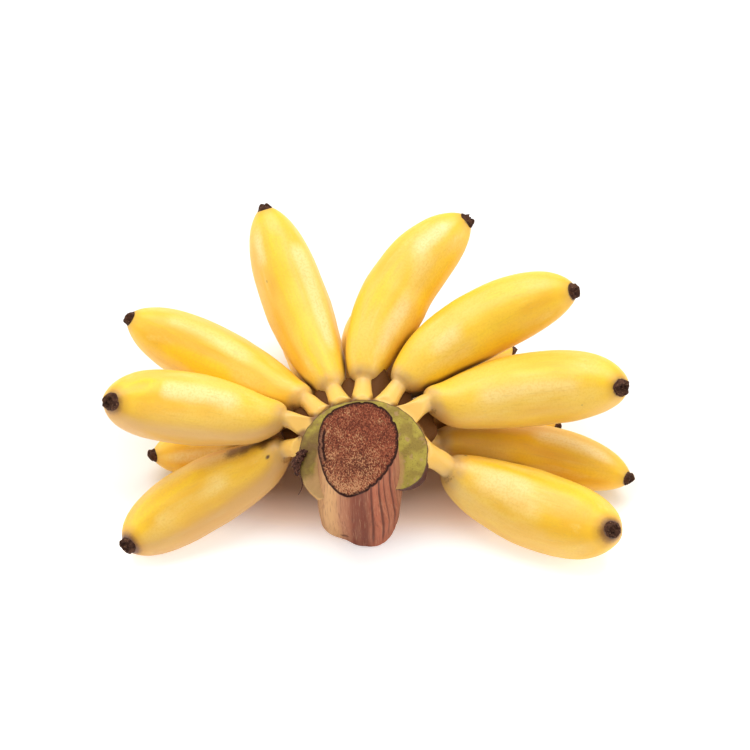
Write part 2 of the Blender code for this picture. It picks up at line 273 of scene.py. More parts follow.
class Finish:
    """A procedural material, put together node by node."""

    def __init__(self, name):
        self.material = bpy.data.materials.new(name)
        self.material.use_nodes = True
        self.tree = self.material.node_tree
        self.shader = self.tree.nodes["Principled BSDF"]

    def plug(self, socket, value):
        if isinstance(value, Signal):
            self.tree.links.new(value.socket, socket)
        elif socket.type == "RGBA":
            socket.default_value = (*value, 1.0)
        else:
            socket.default_value = value

    def add(self, kind, settings, sockets, output=0):
        """Any shader node: its settings first, then its sockets."""
        node = self.tree.nodes.new(kind)
        for key, value in settings.items():
            if key == "stops":
                ramp = node.color_ramp
                while len(ramp.elements) < len(value):
                    ramp.elements.new(0.5)
                for stop, (place, colour) in zip(ramp.elements, value):
                    stop.position = place
                    stop.color = (*colour, 1.0)
            else:
                setattr(node, key, value)
        for key, value in sockets.items():
            self.plug(node.inputs[key], value)
        return Signal(self, node.outputs[output])

    def mark(self, name):
        """A value kept at each point of the mesh."""
        return self.add("ShaderNodeAttribute", {"attribute_name": name}, {}, "Fac")

    def place(self, name):
        """A place kept at each point of the mesh."""
        return self.add("ShaderNodeAttribute", {"attribute_name": name}, {}, "Vector")

    def stretch(self, vector, scale):
        return self.add("ShaderNodeVectorMath", {"operation": "MULTIPLY"}, {0: vector, 1: scale})

    def cloud(self, vector, scale, detail=2.0, roughness=0.5):
        sockets = {"Vector": vector, "Scale": scale, "Detail": detail, "Roughness": roughness}
        return self.add("ShaderNodeTexNoise", {}, sockets)

    def mix(self, factor, first, second):
        return self.add("ShaderNodeMix", {"data_type": "RGBA"}, {0: factor, 6: first, 7: second}, 2)

    def specks(self, vector, scale, size, share):
        """Round specks in a few of the cells of a random grid."""
        sockets = {"Vector": vector, "Scale": scale}
        distance = self.add("ShaderNodeTexVoronoi", {}, sockets)
        colour = self.add("ShaderNodeTexVoronoi", {}, sockets, "Color")
        pick = self.add("ShaderNodeSeparateColor", {}, {"Color": colour}, 0)
        return distance.ramp(size, 0.4 * size) * pick.ramp(1.0 - share, 1.0 - 0.8 * share)

    def bump(self, height, distance, strength=1.0):
        sockets = {"Height": height, "Distance": distance, "Strength": strength}
        return self.add("ShaderNodeBump", {}, sockets)

    def wear(self, **sockets):
        """Sets the shader's own sockets; underscores stand for spaces."""
        for key, value in sockets.items():
            self.plug(self.shader.inputs[key.replace("_", " ")], value)
        return self.material


# Finishes


def peel_finish():
    """Ripe peel: yellow with lengthwise streaks, a pale neck, a brown end, small scars, painted shade and
    painted highlights.
    """
    peel = Finish("peel")
    grain = peel.place("grain")
    ridge = peel.mark("ridge")
    past_neck = peel.mark("past_neck")
    to_tip = peel.mark("to_tip")
    tone = peel.mark("tone")
    inner = peel.mark("inner")
    scar = peel.mark("scar")
    near = peel.mark("near")
    under = peel.mark("under")
    bruise = peel.mark("bruise")
    smoky = peel.mark("smoky")
    stripe = peel.mark("stripe")
    sunk_to = peel.mark("sunk_to")

    patches = peel.cloud(peel.stretch(grain, (0.35, 1.0, 1.0)), 60.0, 2.0)
    streaks = peel.cloud(peel.stretch(grain, (0.10, 1.0, 1.0)), 190.0, 3.0)
    threads = peel.cloud(peel.stretch(grain, (0.05, 1.0, 1.0)), 1500.0, 2.0)
    fine = peel.cloud(grain, 900.0, 3.0)

    colour = peel.mix((patches + tone).ramp(0.35, 0.65), (0.86, 0.47, 0.022), (0.90, 0.565, 0.055))
    colour = peel.mix(streaks.ramp(0.50, 0.72) * 0.65, colour, (0.92, 0.58, 0.016))
    colour = peel.mix(streaks.ramp(0.45, 0.25) * 0.5, colour, (0.92, 0.68, 0.18))
    # Paler on the flats between the ridges: partly a pale bloom, partly painted sheen.
    flat_bloom_and_sheen = ridge.ramp(0.55, 0.05) * past_neck.ramp(8.0, 25.0)
    colour = peel.mix(flat_bloom_and_sheen * (0.35 * patches), colour, (0.93, 0.67, 0.22))
    on_ridge = ridge.ramp(0.60, 1.0) * patches.ramp(0.30, 0.6)
    colour = peel.mix(on_ridge * 0.5, colour, (0.93, 0.57, 0.008))
    # Pale and rich stripes: partly the peel's own patches, partly painted highlights and painted light in
    # shade.
    pale_and_highlit = (stripe + patches + 0.4 * streaks - 0.7).ramp(0.1, 1.0)
    colour = peel.mix(pale_and_highlit * 0.8, colour, (0.95, 0.75, 0.33))
    rich_and_lit = (0.0 - stripe + patches + 0.6 * streaks - 0.8).ramp(0.1, 0.9)
    colour = peel.mix(rich_and_lit * 0.85, colour, (0.95, 0.61, 0.008))
    colour = peel.mix((0.0 - stripe).ramp(0.6, 1.6) * 0.9, colour, (0.93, 0.45, 0.006))
    colour = peel.mix(threads.ramp(0.52, 0.80) * 0.28, colour, (0.60, 0.33, 0.05))
    colour = peel.mix(fine.ramp(0.46, 0.62) * 0.26, colour, (0.80, 0.44, 0.02))

    near_tip = to_tip + 10.0 * patches
    colour = peel.mix(near_tip.ramp(24.0, 8.0) * 0.55, colour, (0.92, 0.55, 0.012))
    # Painted shade on the low front sides, deeper by the neck.
    colour = peel.mix(under.ramp(0.0, 0.8) * 0.7, colour, (0.58, 0.31, 0.11))
    # Brown round the flower end, with extra painted shade on the smoky fruits.
    halo = to_tip + 2.0 * fine + 6.0 * patches - 3.0 * smoky
    colour = peel.mix(halo.ramp(12.0, 4.0) * (0.35 + 0.35 * smoky), colour, (0.58, 0.27, 0.030))
    colour = peel.mix(halo.ramp(6.5, 1.5) * (0.4 + 0.5 * smoky), colour, (0.15, 0.052, 0.018))
    colour = peel.mix((to_tip + 1.0 * fine).ramp(1.3, 0.6), colour, (0.12, 0.052, 0.022))

    neck = past_neck.ramp(6.0, -4.0)
    colour = peel.mix(neck * 0.75, colour, (0.84, 0.51, 0.12))
    collar = past_neck.ramp(-5.0, 0.0) * past_neck.ramp(7.0, 1.0)
    colour = peel.mix(collar * (streaks.ramp(0.3, 0.7) * 0.5 + 0.25), colour, (0.55, 0.34, 0.14))
    scars = peel.specks(peel.stretch(grain, (0.6, 1.0, 1.0)), 190.0, 0.22, 0.06)
    colour = peel.mix(scars * collar.ramp(0.0, 0.5), colour, (0.10, 0.045, 0.02))
    # Dark scars under the collar, partly painted shade in the crease there.
    colour = peel.mix((scar + 1.2 * fine).ramp(1.1, 1.6) * 0.55, colour, (0.20, 0.085, 0.028))
    # Dark bruises, partly painted contact shadow.
    bruised_and_shaded = (bruise + 0.5 * fine + 0.5 * patches).ramp(0.75, 1.5)
    colour = peel.mix(bruised_and_shaded * 0.75, colour, (0.17, 0.070, 0.030))
    # Painted contact shade where another fruit lies close.
    colour = peel.mix(near.ramp(0.22, 0.85) * 0.9, colour, (0.20, 0.075, 0.014))
    freckles = peel.specks(peel.stretch(grain, (0.5, 1.0, 1.0)), 160.0, 0.10, 0.05)
    colour = peel.mix(freckles * 0.45, colour, (0.30, 0.14, 0.03))
    # Painted shade on the lower fruits by the crown, deep between the others.
    deep_shade_share = inner * (past_neck + 8.0 * patches - sunk_to).ramp(20.0, 0.0)
    colour = peel.mix(deep_shade_share * 0.9, colour, (0.24, 0.10, 0.016))

    height = streaks * 0.5 + threads * 0.25 + fine * 0.35 + patches * 1.2
    return peel.wear(
        Base_Color=colour,
        Roughness=0.36 + streaks * 0.12 + deep_shade_share * 0.5,
        Specular_IOR_Level=0.55,
        Subsurface_Weight=0.12,
        Subsurface_Radius=(1.0, 0.55, 0.15),
        Subsurface_Scale=0.003,
        Normal=peel.bump(height, 0.00035, 0.6))


def crown_finish():
    """Olive skin with pink-beige spots, a dark rim, cream where it meets the stalk, and painted shade between
    the necks.
    """
    crown = Finish("crown")
    grain = crown.place("grain")
    rim = crown.mark("rim")
    by_stalk = crown.mark("by_stalk")
    wall = crown.mark("wall")
    sunk = crown.mark("sunk")
    front = crown.mark("front")
    barky = crown.mark("barky")
    brown = crown.mark("brown")
    clouds = crown.cloud(grain, 170.0, 3.0)
    fine = crown.cloud(grain, 1300.0, 3.0)
    blots = crown.cloud(grain, 260.0, 2.0)

    colour = crown.mix(clouds.ramp(0.38, 0.62), (0.27, 0.19, 0.038), (0.39, 0.31, 0.052))
    colour = crown.mix(crown.cloud(grain, 75.0).ramp(0.50, 0.62) * 0.5, colour, (0.20, 0.12, 0.036))
    colour = crown.mix(blots.ramp(0.58, 0.70) * 0.6, colour, (0.46, 0.27, 0.13))
    colour = crown.mix(fine.ramp(0.54, 0.72) * 0.45, colour, (0.15, 0.10, 0.035))
    colour = crown.mix((brown + 2.0 * blots - 1.0).ramp(0.1, 1.1) * 0.75, colour, (0.17, 0.095, 0.036))
    cream = (by_stalk + 3.0 * clouds).ramp(3.6, 1.8)
    colour = crown.mix(cream * 0.8, colour, (0.50, 0.28, 0.11))
    colour = crown.mix((front + 0.4 * clouds).ramp(0.55, 0.95) * 0.9, colour, (0.52, 0.31, 0.13))
    side = crown.mix((barky + 0.3 * fine).ramp(0.45, 0.75), (0.56, 0.32, 0.10), (0.080, 0.028, 0.020))
    colour = crown.mix(wall.ramp(0.4, 0.9), colour, side)
    # Painted shade where the wall bulges deep between the rows of necks.
    colour = crown.mix((sunk + 1.5 * fine).ramp(0.8, 3.0), colour, (0.105, 0.037, 0.006))
    edge = (rim + 0.9 * fine).ramp(1.6, 0.8) * front.ramp(0.7, 0.3)
    colour = crown.mix(edge, colour, (0.085, 0.038, 0.030))
    return crown.wear(
        Base_Color=colour,
        Roughness=0.55 + 0.2 * fine,
        Specular_IOR_Level=0.15,
        Normal=crown.bump(fine * 0.5 + clouds, 0.0006, 0.7))


def bark_finish():
    """Lengthwise bands of tan, brown-red and red-brown, with dark grooves."""
    bark = Finish("bark")
    grain = bark.place("grain")
    turn = bark.mark("turn")
    groove = bark.mark("groove")
    rim = bark.mark("rim")
    long_grain = bark.stretch(grain, (1.0, 1.0, 0.035))
    bands = bark.cloud(long_grain, 260.0, 3.0)
    threads = bark.cloud(long_grain, 1900.0, 3.0)
    fine = bark.cloud(grain, 1500.0, 2.0)
    wander = turn + 10.0 * bands

    band_stops = [
        (0.00, (0.18, 0.06, 0.035)), (0.25, (0.34, 0.16, 0.07)), (0.36, (0.64, 0.36, 0.16)),
        (0.405, (0.62, 0.33, 0.14)), (0.425, (0.44, 0.19, 0.095)), (0.455, (0.36, 0.13, 0.065)),
        (0.475, (0.20, 0.050, 0.026)), (0.53, (0.18, 0.044, 0.024)), (0.56, (0.40, 0.12, 0.062)),
        (0.66, (0.33, 0.100, 0.052)), (0.72, (0.34, 0.14, 0.07)), (1.00, (0.18, 0.06, 0.035))]
    bands_colour = bark.add(
        "ShaderNodeValToRGB", {"stops": band_stops}, {"Fac": (wander - 5.0) * (1.0 / 360.0) + 0.5})
    colour = bark.mix(bands.ramp(0.40, 0.70) * 0.25, bands_colour, (0.46, 0.21, 0.11))
    colour = bark.mix(threads.ramp(0.52, 0.72) * 0.50, colour, (0.15, 0.055, 0.035))
    colour = bark.mix(threads.ramp(0.45, 0.28) * 0.22, colour, (0.68, 0.42, 0.22))
    colour = bark.mix(groove.ramp(0.10, 0.60) * 0.75, colour, (0.085, 0.026, 0.018))
    edge = (rim + 0.8 * fine).ramp(1.3, 0.6)
    colour = bark.mix(edge, colour, (0.060, 0.022, 0.016))
    return bark.wear(
        Base_Color=colour,
        Roughness=0.65 + 0.2 * threads,
        Specular_IOR_Level=0.15,
        Normal=bark.bump(threads * 0.6 + bands, 0.0006, 0.8))


def cut_finish():
    """The dried cut: rust with tan and dark grains, and a dark outline."""
    cut = Finish("cut_face")
    grain = cut.place("grain")
    rim = cut.mark("rim")
    torn = cut.mark("torn")
    charred = cut.mark("charred")
    low_left = cut.mark("low_left")
    clouds = cut.cloud(grain, 170.0, 3.0)
    grains = cut.cloud(cut.stretch(grain, (1.0, 0.6, 0.6)), 2100.0, 3.0, 0.62)
    crumbs = cut.cloud(grain, 1100.0, 3.0, 0.6)

    colour = cut.mix(crumbs.ramp(0.38, 0.62), (0.20, 0.048, 0.026), (0.40, 0.105, 0.052))
    colour = cut.mix((low_left + clouds).ramp(0.45, 1.0) * 0.12, colour, (0.60, 0.25, 0.12))
    light = (grains + 0.35 * clouds + 0.07 * low_left).ramp(0.725, 0.80)
    colour = cut.mix(light * 0.75, colour, (0.68, 0.36, 0.17))
    dark = (grains + 0.35 * clouds - 0.10 * charred).ramp(0.64, 0.57)
    colour = cut.mix(dark * 0.7, colour, (0.055, 0.022, 0.015))
    colour = cut.mix((rim + crumbs).ramp(3.2, 2.4) * torn.ramp(0.4, 0.7), colour, (0.30, 0.13, 0.075))
    from_line = rim + 1.2 * crumbs - 3.1
    crack = (from_line * from_line).ramp(0.55, 0.12) * torn.ramp(0.3, 0.6)
    colour = cut.mix(crack, colour, (0.050, 0.018, 0.013))
    edge = (rim + 2.2 * crumbs).ramp(2.8, 1.6)
    colour = cut.mix(edge, colour, (0.050, 0.018, 0.013))
    return cut.wear(
        Base_Color=colour,
        Roughness=0.85,
        Specular_IOR_Level=0.12,
        Normal=cut.bump(grains + 0.8 * crumbs, 0.0008, 0.9))


def husk_finish():
    """Dry flower end: near black with tan specks."""
    husk = Finish("flower_end")
    grain = husk.place("grain")
    grains = husk.cloud(grain, 1700.0, 3.0, 0.6)
    clouds = husk.cloud(grain, 500.0, 2.0)
    colour = husk.mix(clouds.ramp(0.35, 0.65), (0.040, 0.016, 0.010), (0.095, 0.042, 0.025))
    colour = husk.mix(grains.ramp(0.60, 0.74) * 0.85, colour, (0.40, 0.23, 0.12))
    return husk.wear(
        Base_Color=colour,
        Roughness=0.85,
        Specular_IOR_Level=0.12,
        Normal=husk.bump(grains + clouds, 0.0006, 0.9))


def flake_finish():
    """Dried bract: dark, papery and brown."""
    flake = Finish("bract")
    grain = flake.place("grain")
    grains = flake.cloud(grain, 1500.0, 3.0, 0.6)
    colour = flake.mix(grains.ramp(0.40, 0.62), (0.045, 0.018, 0.014), (0.16, 0.070, 0.045))
    colour = flake.mix(grains.ramp(0.64, 0.74) * 0.6, colour, (0.36, 0.20, 0.12))
    return flake.wear(
        Base_Color=colour,
        Roughness=0.85,
        Specular_IOR_Level=0.12,
        Normal=flake.bump(grains, 0.0006, 0.9))


# Mesh helpers


def lay_skin(name, rings, finishes, places, marks, second_from=None):
    """Closed smooth skin over rings of points, with places and marks kept at each point.

    The rings from second_from on take the second finish.
    """
    count = len(rings[0])
    mesh = bpy.data.meshes.new(name)
    points = [point for ring in rings for point in ring]
    faces = [tuple(reversed(range(count)))]
    for r in range(len(rings) - 1):
        low = r * count
        for i in range(count):
            j = (i + 1) % count
            faces.append((low + i, low + j, low + count + j, low + count + i))
    faces.append(tuple(range(len(points) - count, len(points))))
    mesh.from_pydata(points, [], faces)
    bm = bmesh.new()
    bm.from_mesh(mesh)
    bmesh.ops.recalc_face_normals(bm, faces=bm.faces)
    bm.to_mesh(mesh)
    bm.free()
    mesh.shade_smooth()
    for key, rows in places.items():
        layer = mesh.attributes.new(key, "FLOAT_VECTOR", "POINT")
        layer.data.foreach_set("vector", [part for row in rows for place in row for part in place])
    for key, rows in marks.items():
        layer = mesh.attributes.new(key, "FLOAT", "POINT")
        layer.data.foreach_set("value", [value for row in rows for value in row])
    for finish in finishes:
        mesh.materials.append(finish)
    if second_from is not None:
        for index, polygon in enumerate(mesh.polygons):
            polygon.material_index = int(index > second_from * count)
    thing = bpy.data.objects.new(name, mesh)
    bpy.context.scene.collection.objects.link(thing)
    return thing


def settle(thing, slot, *nodes):
    """Puts a finished piece on the hand in place of its plain solids."""
    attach(thing, "root")
    if nodes:
        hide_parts(*nodes)
    return thing


def tilted_axes(lean):
    """Across, up the slope and square to a plane tipped towards -Y by lean degrees."""
    turn = Matrix.Rotation(math.radians(lean), 3, "X")
    return turn @ Vector((1, 0, 0)), turn @ Vector((0, 1, 0)), turn @ Vector((0, 0, 1))


def between(levels, place):
    """Value at a place on a polyline of (place, value) pairs."""
    for (low, first), (high, second) in zip(levels, levels[1:]):
        if place <= high:
            break
    return first + (second - first) * (place - low) / (high - low)


def rough(point, scale, octaves=3):
    """Smooth random value between about -1 and 1."""
    return noise.fractal(point * scale, 0.9, 2.0, octaves)


def bell(value, middle, width):
    return math.exp(-((value - middle) / width) ** 2)


def hump(turn, middle, width):
    """A bell round a turn in degrees, taken the short way round."""
    return bell((turn - middle + 180.0) % 360.0, 180.0, width)


def span(x, start, end):
    """1 between start and end, with soft ends."""
    return min(1.0, max(0.0, (x - start) / 10.0 + 0.5)) * min(1.0, max(0.0, (end - x) / 10.0 + 0.5))


# Bananas


def turned_share(s):
    """Share of the whole bend that is done at s: slow in the neck, then even."""
    slow, ramp_start, ramp_end = 0.35, 0.05, 0.20
    fast = 1.0 - slow
    ramp = ramp_end - ramp_start

    def area(x):
        inside = min(max(x - ramp_start, 0.0), ramp)
        return slow * x + fast * (inside ** 2 / (2 * ramp) + max(x - ramp_end, 0.0))

    return area(s) / area(1.0)


def banana_radius(x, length, radius, neck, neck_radius):
    """Radius at x along a banana: flared root, neck, shoulder, body and blunt end."""
    flare = NECK_FLARE * max(0.0, 1.0 - x / NECK_FLARE_LENGTH) ** 1.6
    if x <= neck:
        return neck_radius + flare
    t = (x - neck) / (length - neck)
    u = min(t / SHOULDER, 1.0)
    full = neck_radius + (radius - neck_radius) * (1.0 - (1.0 - u) ** 1.28) ** 0.56
    v = max(0.0, (t - TAPER_START) / (TAPER_END - TAPER_START))
    return full * (1.0 - v ** 2.8) ** 0.62


# Rings that close a banana's tip: share of the radius, and how far they stand out (mm).
TIP_RINGS = ((0.96, 0.12), (0.80, 0.22), (0.40, 0.26), (0.05, 0.26))


def banana_stations(length, neck):
    """A banana's rings: place along, share of the radius there, and how far they stand out.

    They are closer together at the neck and the tip.
    """
    stations = [-1.5 * MM + i * (neck + 1.5 * MM) / 14 for i in range(14)]
    body = length - neck
    steps = 46
    for i in range(steps + 1):
        share = i / steps
        eased = 0.45 * share + 0.55 * (1.0 - math.cos(math.pi * share)) / 2
        stations.append(neck + body * eased)
    rings = [(x, 1.0, 0.0) for x in stations]
    rings.extend((length, share, beyond * MM) for share, beyond in TIP_RINGS)
    return rings


def banana_path(length, bend, hook):
    """Point and direction at each station, in the banana's own frame."""
    steps = 240
    step = length / steps

    def angle_at(s):
        end = min(1.0, max(0.0, (s - HOOK_START) / (1.0 - HOOK_START)))
        return bend * turned_share(s) + hook * end ** 1.5

    points = [Vector((0.0, 0.0, 0.0))]
    for i in range(steps):
        angle = angle_at((i + 0.5) / steps)
        points.append(points[-1] + Vector((math.cos(angle), 0.0, math.sin(angle))) * step)

    def at(x):
        if x <= 0.0:
            return Vector((x, 0.0, 0.0)), 0.0
        place = min(x / step, steps - 1e-9)
        low = int(place)
        point = points[low].lerp(points[low + 1], place - low)
        return point, angle_at(x / length)

    return at


def banana_frame(ring_angle, lift, heading, rise, roll):
    """Where a banana's own frame stands in the hand."""
    across, up, out = tilted_axes(CROWN_LEAN)
    angle = math.radians(ring_angle)
    root = CROWN_CENTRE + (across * math.cos(angle) + up * math.sin(angle)) * ROOT_RADIUS
    root = root + out * (lift * MM)
    heading = math.radians(heading)
    rise = math.radians(rise)
    roll = math.radians(roll)
    level = Vector((math.cos(heading), math.sin(heading), 0.0))
    forward = level * math.cos(rise) + Vector((0, 0, math.sin(rise)))
    side = Vector((0, 0, 1)).cross(forward).normalized()
    above = forward.cross(side)
    bend_to = above * math.cos(roll) + side * math.sin(roll)
    frame = Matrix((forward, bend_to.cross(forward), bend_to)).transposed().to_4x4()
    frame.translation = root
    return frame


def under_rim(point, slope):
    """Keeps a neck from standing over the crown's top: it slopes away from the rim's edge."""
    across, up, out = tilted_axes(CROWN_LEAN)
    from_centre = point - CROWN_CENTRE
    side = from_centre.dot(across)
    back = from_centre.dot(up)
    beyond = math.hypot(side, back) - crown_radius(math.atan2(back, side))
    most = 3.7 * MM + max(-0.4 * MM, slope * beyond)
    height = from_centre.dot(out)
    return point - out * max(0.0, height - most)


def root_slope(stand):
    """How steeply a banana's neck leaves the collar's plane, downwards only."""
    away = stand.to_3x3() @ Vector((1.0, 0.0, 0.0))
    drop = away.dot(tilted_axes(CROWN_LEAN)[2])
    return min(0.0, drop / math.sqrt(1.0 - drop * drop))


def scar_and_shade_side(stand):
    """Degrees round a banana of its low front side, where its collar has dark scars and painted crease shade.
    """
    low_side = stand.to_3x3().inverted() @ Vector((0.0, -1.0, -0.4))
    return math.degrees(math.atan2(low_side.y, low_side.z))


# What is kept at each point of a peel, besides the painted shade marks that paint_shade_marks() adds.
PEEL_MARKS = (
    "ridge", "past_neck", "to_tip", "tone", "inner", "scar", "bruise", "smoky", "stripe", "sunk_to")


def make_banana(name, spec, number, peel):
    ring_angle, lift, heading, rise, bend, roll, length, radius, neck, neck_radius, arch, hook = spec
    stand = banana_frame(ring_angle, lift, heading, rise, roll)
    length, radius, neck, neck_radius = length * MM, radius * MM, neck * MM, neck_radius * MM
    up_slope = stand.to_3x3().inverted() @ tilted_axes(CROWN_LEAN)[1]
    at = banana_path(length, math.radians(bend), math.radians(hook))
    luck = random.Random(100 + number)
    tone = luck.uniform(-0.10, 0.10)
    inner = DEEP_SHADE.get(name, 1.0) if name.startswith("lower") else 0.0
    apart = 0.37 * number
    nub_radius = NUB_RADIUS * SMALL_NUBS.get(name, 1.0)
    slope = root_slope(stand)
    own = ((luck.uniform(0, 360), 25, 80, 0.7), (luck.uniform(0, 360), 20, 85, -0.8))
    stripes_and_light = STRIPES_AND_LIGHT.get(name, own)
    fuller = FULLER.get(name, ())
    scar_and_shade_turn = scar_and_shade_side(stand) + luck.uniform(-25.0, 25.0)
    rings, grain = [], []
    marks = {key: [] for key in PEEL_MARKS}
    for x, share, beyond in banana_stations(length, neck):
        centre, angle = at(x)
        centre = centre + up_slope * arch * MM * bell(x, NECK_ARCH_PLACE, NECK_ARCH_WIDTH)
        ahead = Vector((math.cos(angle), 0.0, math.sin(angle)))
        inward = Vector((-math.sin(angle), 0.0, math.cos(angle)))
        sideways = Vector((0.0, 1.0, 0.0))
        size = banana_radius(x, length, radius, neck, neck_radius) * share
        ridge = RIDGE_DEPTH * min(1.0, max(0.0, (x - neck) / (0.3 * length)))
        ring, coats, on_ridge, scarred_and_shaded, bruised_and_shaded, striped_and_lit = [], [], [], [], [], []
        at_collar = bell(x, neck + 0.6 * MM, 1.0 * MM)
        for i in range(BANANA_SIDES):
            turn = 2 * math.pi * i / BANANA_SIDES
            degrees = math.degrees(turn)
            reach = size * (1.0 - ridge * (1.0 + math.cos(5 * turn)) / 2)
            coat = Vector((x + apart, reach * math.sin(turn), reach * math.cos(turn)))
            body = min(1.0, max(0.0, (x - neck) / (20 * MM))) * share
            reach += 0.28 * MM * body * rough(coat, 55.0, 2) + 0.05 * MM * rough(coat, 420.0, 2)
            for side, place, full in fuller:
                wide = hump(degrees, side, FULLER_WIDTH)
                reach += full * MM * wide * bell(x / MM, place, FULLER_LENGTH)
            local = centre + (inward * math.cos(turn) + sideways * math.sin(turn)) * reach
            point = stand @ (local + ahead * beyond)
            if x < neck:
                point = under_rim(point, slope)
            point.z = max(point.z, 0.0)
            ring.append(point)
            coats.append(coat)
            on_ridge.append((1.0 - math.cos(5 * turn)) / 2 * body)
            scarred_and_shaded.append(at_collar * hump(degrees, scar_and_shade_turn, SCAR_AND_SHADE_WIDTH))
            striped_and_lit.append(sum(
                depth * hump(degrees, middle, STRIPE_WIDTH) * span(x / MM, start, end)
                for middle, start, end, depth in stripes_and_light))
            bruised_and_shaded.append(max(
                bell((point - HAND_PLACE - Vector(where) * MM).length / MM, 0.0, wide)
                for where, wide in BRUISES_AND_SHADOWS))
        rings.append(ring)
        grain.append(coats)
        marks["ridge"].append(on_ridge)
        marks["scar"].append(scarred_and_shaded)
        marks["bruise"].append(bruised_and_shaded)
        marks["stripe"].append(striped_and_lit)
        level_marks = {
            "past_neck": (x - neck) / MM,
            "to_tip": (length - x + abs(size - nub_radius)) / MM,
            "smoky": SMOKY_AND_SHADED.get(name, 0.0),
            "tone": tone,
            "inner": inner,
            "sunk_to": DEEP_SHADE_TO.get(name, DEEP_SHADE_REST)}
        for key, value in level_marks.items():
            marks[key].append([value] * BANANA_SIDES)
    fruit = lay_skin("banana_" + name + "_peel", rings, [peel], {"grain": grain}, marks)
    return settle(fruit, "peel", "banana_" + name)


def paint_shade_marks(fruits):
    """Marks painted shade: where a fruit is near another one, and how far its skin faces down and forward."""
    trees = {}
    for name, fruit in fruits.items():
        skin = fruit.data
        trees[name] = BVHTree.FromPolygons([v.co for v in skin.vertices], [p.vertices for p in skin.polygons])
    for name, fruit in fruits.items():
        others = [tree for other, tree in trees.items() if other != name]
        near, under = [], []
        past_neck = fruit.data.attributes["past_neck"].data
        for vertex, mark in zip(fruit.data.vertices, past_neck):
            apart = CONTACT_SHADE_REACH
            for tree in others:
                apart = min(apart, tree.find_nearest(vertex.co, apart)[3] or apart)
            near.append(1.0 - apart / CONTACT_SHADE_REACH)
            low_side_shade_depth = LOW_SIDE_SHADE.get(name, LOW_SIDE_SHADE_REST) + NECK_SHADE_DEPTH * bell(mark.value, *NECK_SHADE)
            under.append(max(0.0, vertex.normal.dot(LOW_FRONT)) * low_side_shade_depth)
        for key, values in (("near", near), ("under", under)):
            fruit.data.attributes.new(key, "FLOAT", "POINT").data.foreach_set("value", values)


# Height over the tip (mm) and share of the radius, from the foot over the ragged rim to the pit.
NUB_PROFILE = (
    (-0.5, 1.04), (0.1, 1.08), (0.5, 1.02), (0.8, 0.96), (1.1, 0.96), (1.5, 0.97), (1.8, 0.92),
    (1.9, 0.82), (1.6, 0.68), (1.1, 0.54), (0.8, 0.40), (1.1, 0.26), (1.6, 0.14), (1.8, 0.03))


def make_flower_end(name, spec, number, husk):
    """The dried, ragged nub on a banana's tip, with a pit in its end."""
    ring_angle, lift, heading, rise, bend, roll, length, _, _, _, _, hook = spec
    stand = banana_frame(ring_angle, lift, heading, rise, roll)
    tip, angle = banana_path(length * MM, math.radians(bend), math.radians(hook))(length * MM)
    stand = stand @ Matrix.Translation(tip) @ Matrix.Rotation(-angle, 4, "Y")
    size = SMALL_NUBS.get(name, 1.0)
    slim = SLIM_NUBS.get(name, SLIM_REST)
    rings, grain = [], []
    for height, share in NUB_PROFILE:
        ring, coats = [], []
        for i in range(NUB_SIDES):
            turn = 2 * math.pi * i / NUB_SIDES
            wide = share * size * NUB_RADIUS * (1.0 - slim * max(0.0, height))
            flat = Vector((height * MM, math.sin(turn) * wide, math.cos(turn) * wide))
            seed = flat + Vector((0.41 * number, 0.0, 0.0))
            free = min(1.0, max(0.0, height))
            lobes = 0.07 * math.sin(3 * turn + number) + 0.06 * math.sin(5 * turn + 2 * number)
            ragged = 1.0 + (0.4 + 0.6 * free) * (lobes + 0.30 * rough(seed, 330.0))
            uneven = 0.30 * rough(seed, 260.0) + 0.22 * math.sin(2 * turn + number)
            tall = 1.3 * height * MM * (1.0 + free * uneven)
            ring.append(stand @ Vector((tall, flat.y * ragged, flat.z * ragged)))
            coats.append(seed)
        rings.append(ring)
        grain.append(coats)
    nub = lay_skin("flower_end_" + name + "_husk", rings, [husk], {"grain": grain}, {})
    return settle(nub, "flower_end", "flower_end_" + name)


# Crown


def crown_radius(angle):
    """The collar is round, flatter behind, and draws in where the stalk stands free."""
    turn = (math.degrees(angle) + 180.0) % 360.0 - 180.0
    behind = max(0.0, math.sin(angle))
    wider = 0.8 * MM * math.cos(angle - math.radians(8))
    return CROWN_RADIUS + wider - 2.0 * MM * behind ** 4 - between(CROWN_INSETS, turn)


# Height over the collar's plane (mm) and share of the radius, from under the crown to its top.
CROWN_LEVELS = (
    (-25.0, 0.60), (-24.0, 0.72), (-22.5, 0.82), (-21.0, 0.89), (-19.5, 0.935), (-17.0, 0.965),
    (-15.0, 0.975), (-13.0, 0.98), (-11.0, 0.985), (-9.5, 0.985), (-8.0, 0.985), (-6.5, 0.985),
    (-5.0, 0.985), (-3.0, 0.985), (-1.0, 0.99), (1.0, 0.99), (2.6, 0.992), (3.6, 1.000),
    (4.2, 1.006), (4.7, 1.002), (5.0, 0.988), (5.3, 0.965), (5.7, 0.93), (6.3, 0.87),
    (6.9, 0.81), (7.5, 0.75), (8.0, 0.69), (8.3, 0.62), (8.5, 0.50))
# Which of them is the rim, counted from nought.
CROWN_RIM = 18

# Round the crown, as middle and width in degrees: where its wall is barky and bulges, where the
# wall draws in, where the collar is cream in front, and where it is brown.
BARKY = (-20.0, 25.0)
WALL_INSET = (-58.0, 20.0)
CREAM_FRONT = ((-142.0, 26.0), (-48.0, 8.0))
BROWN = (176.0, 36.0)


def stalk_reach(point):
    """Distance of a point from the stalk's skin, in mm, never below nought."""
    axis = tilted_axes(STALK_LEAN)[2]
    from_centre = point - STALK_CENTRE
    along = from_centre.dot(axis)
    away = (from_centre - axis * along).length
    return max(0.0, (away - between(STALK_LEVELS, along)) / MM)


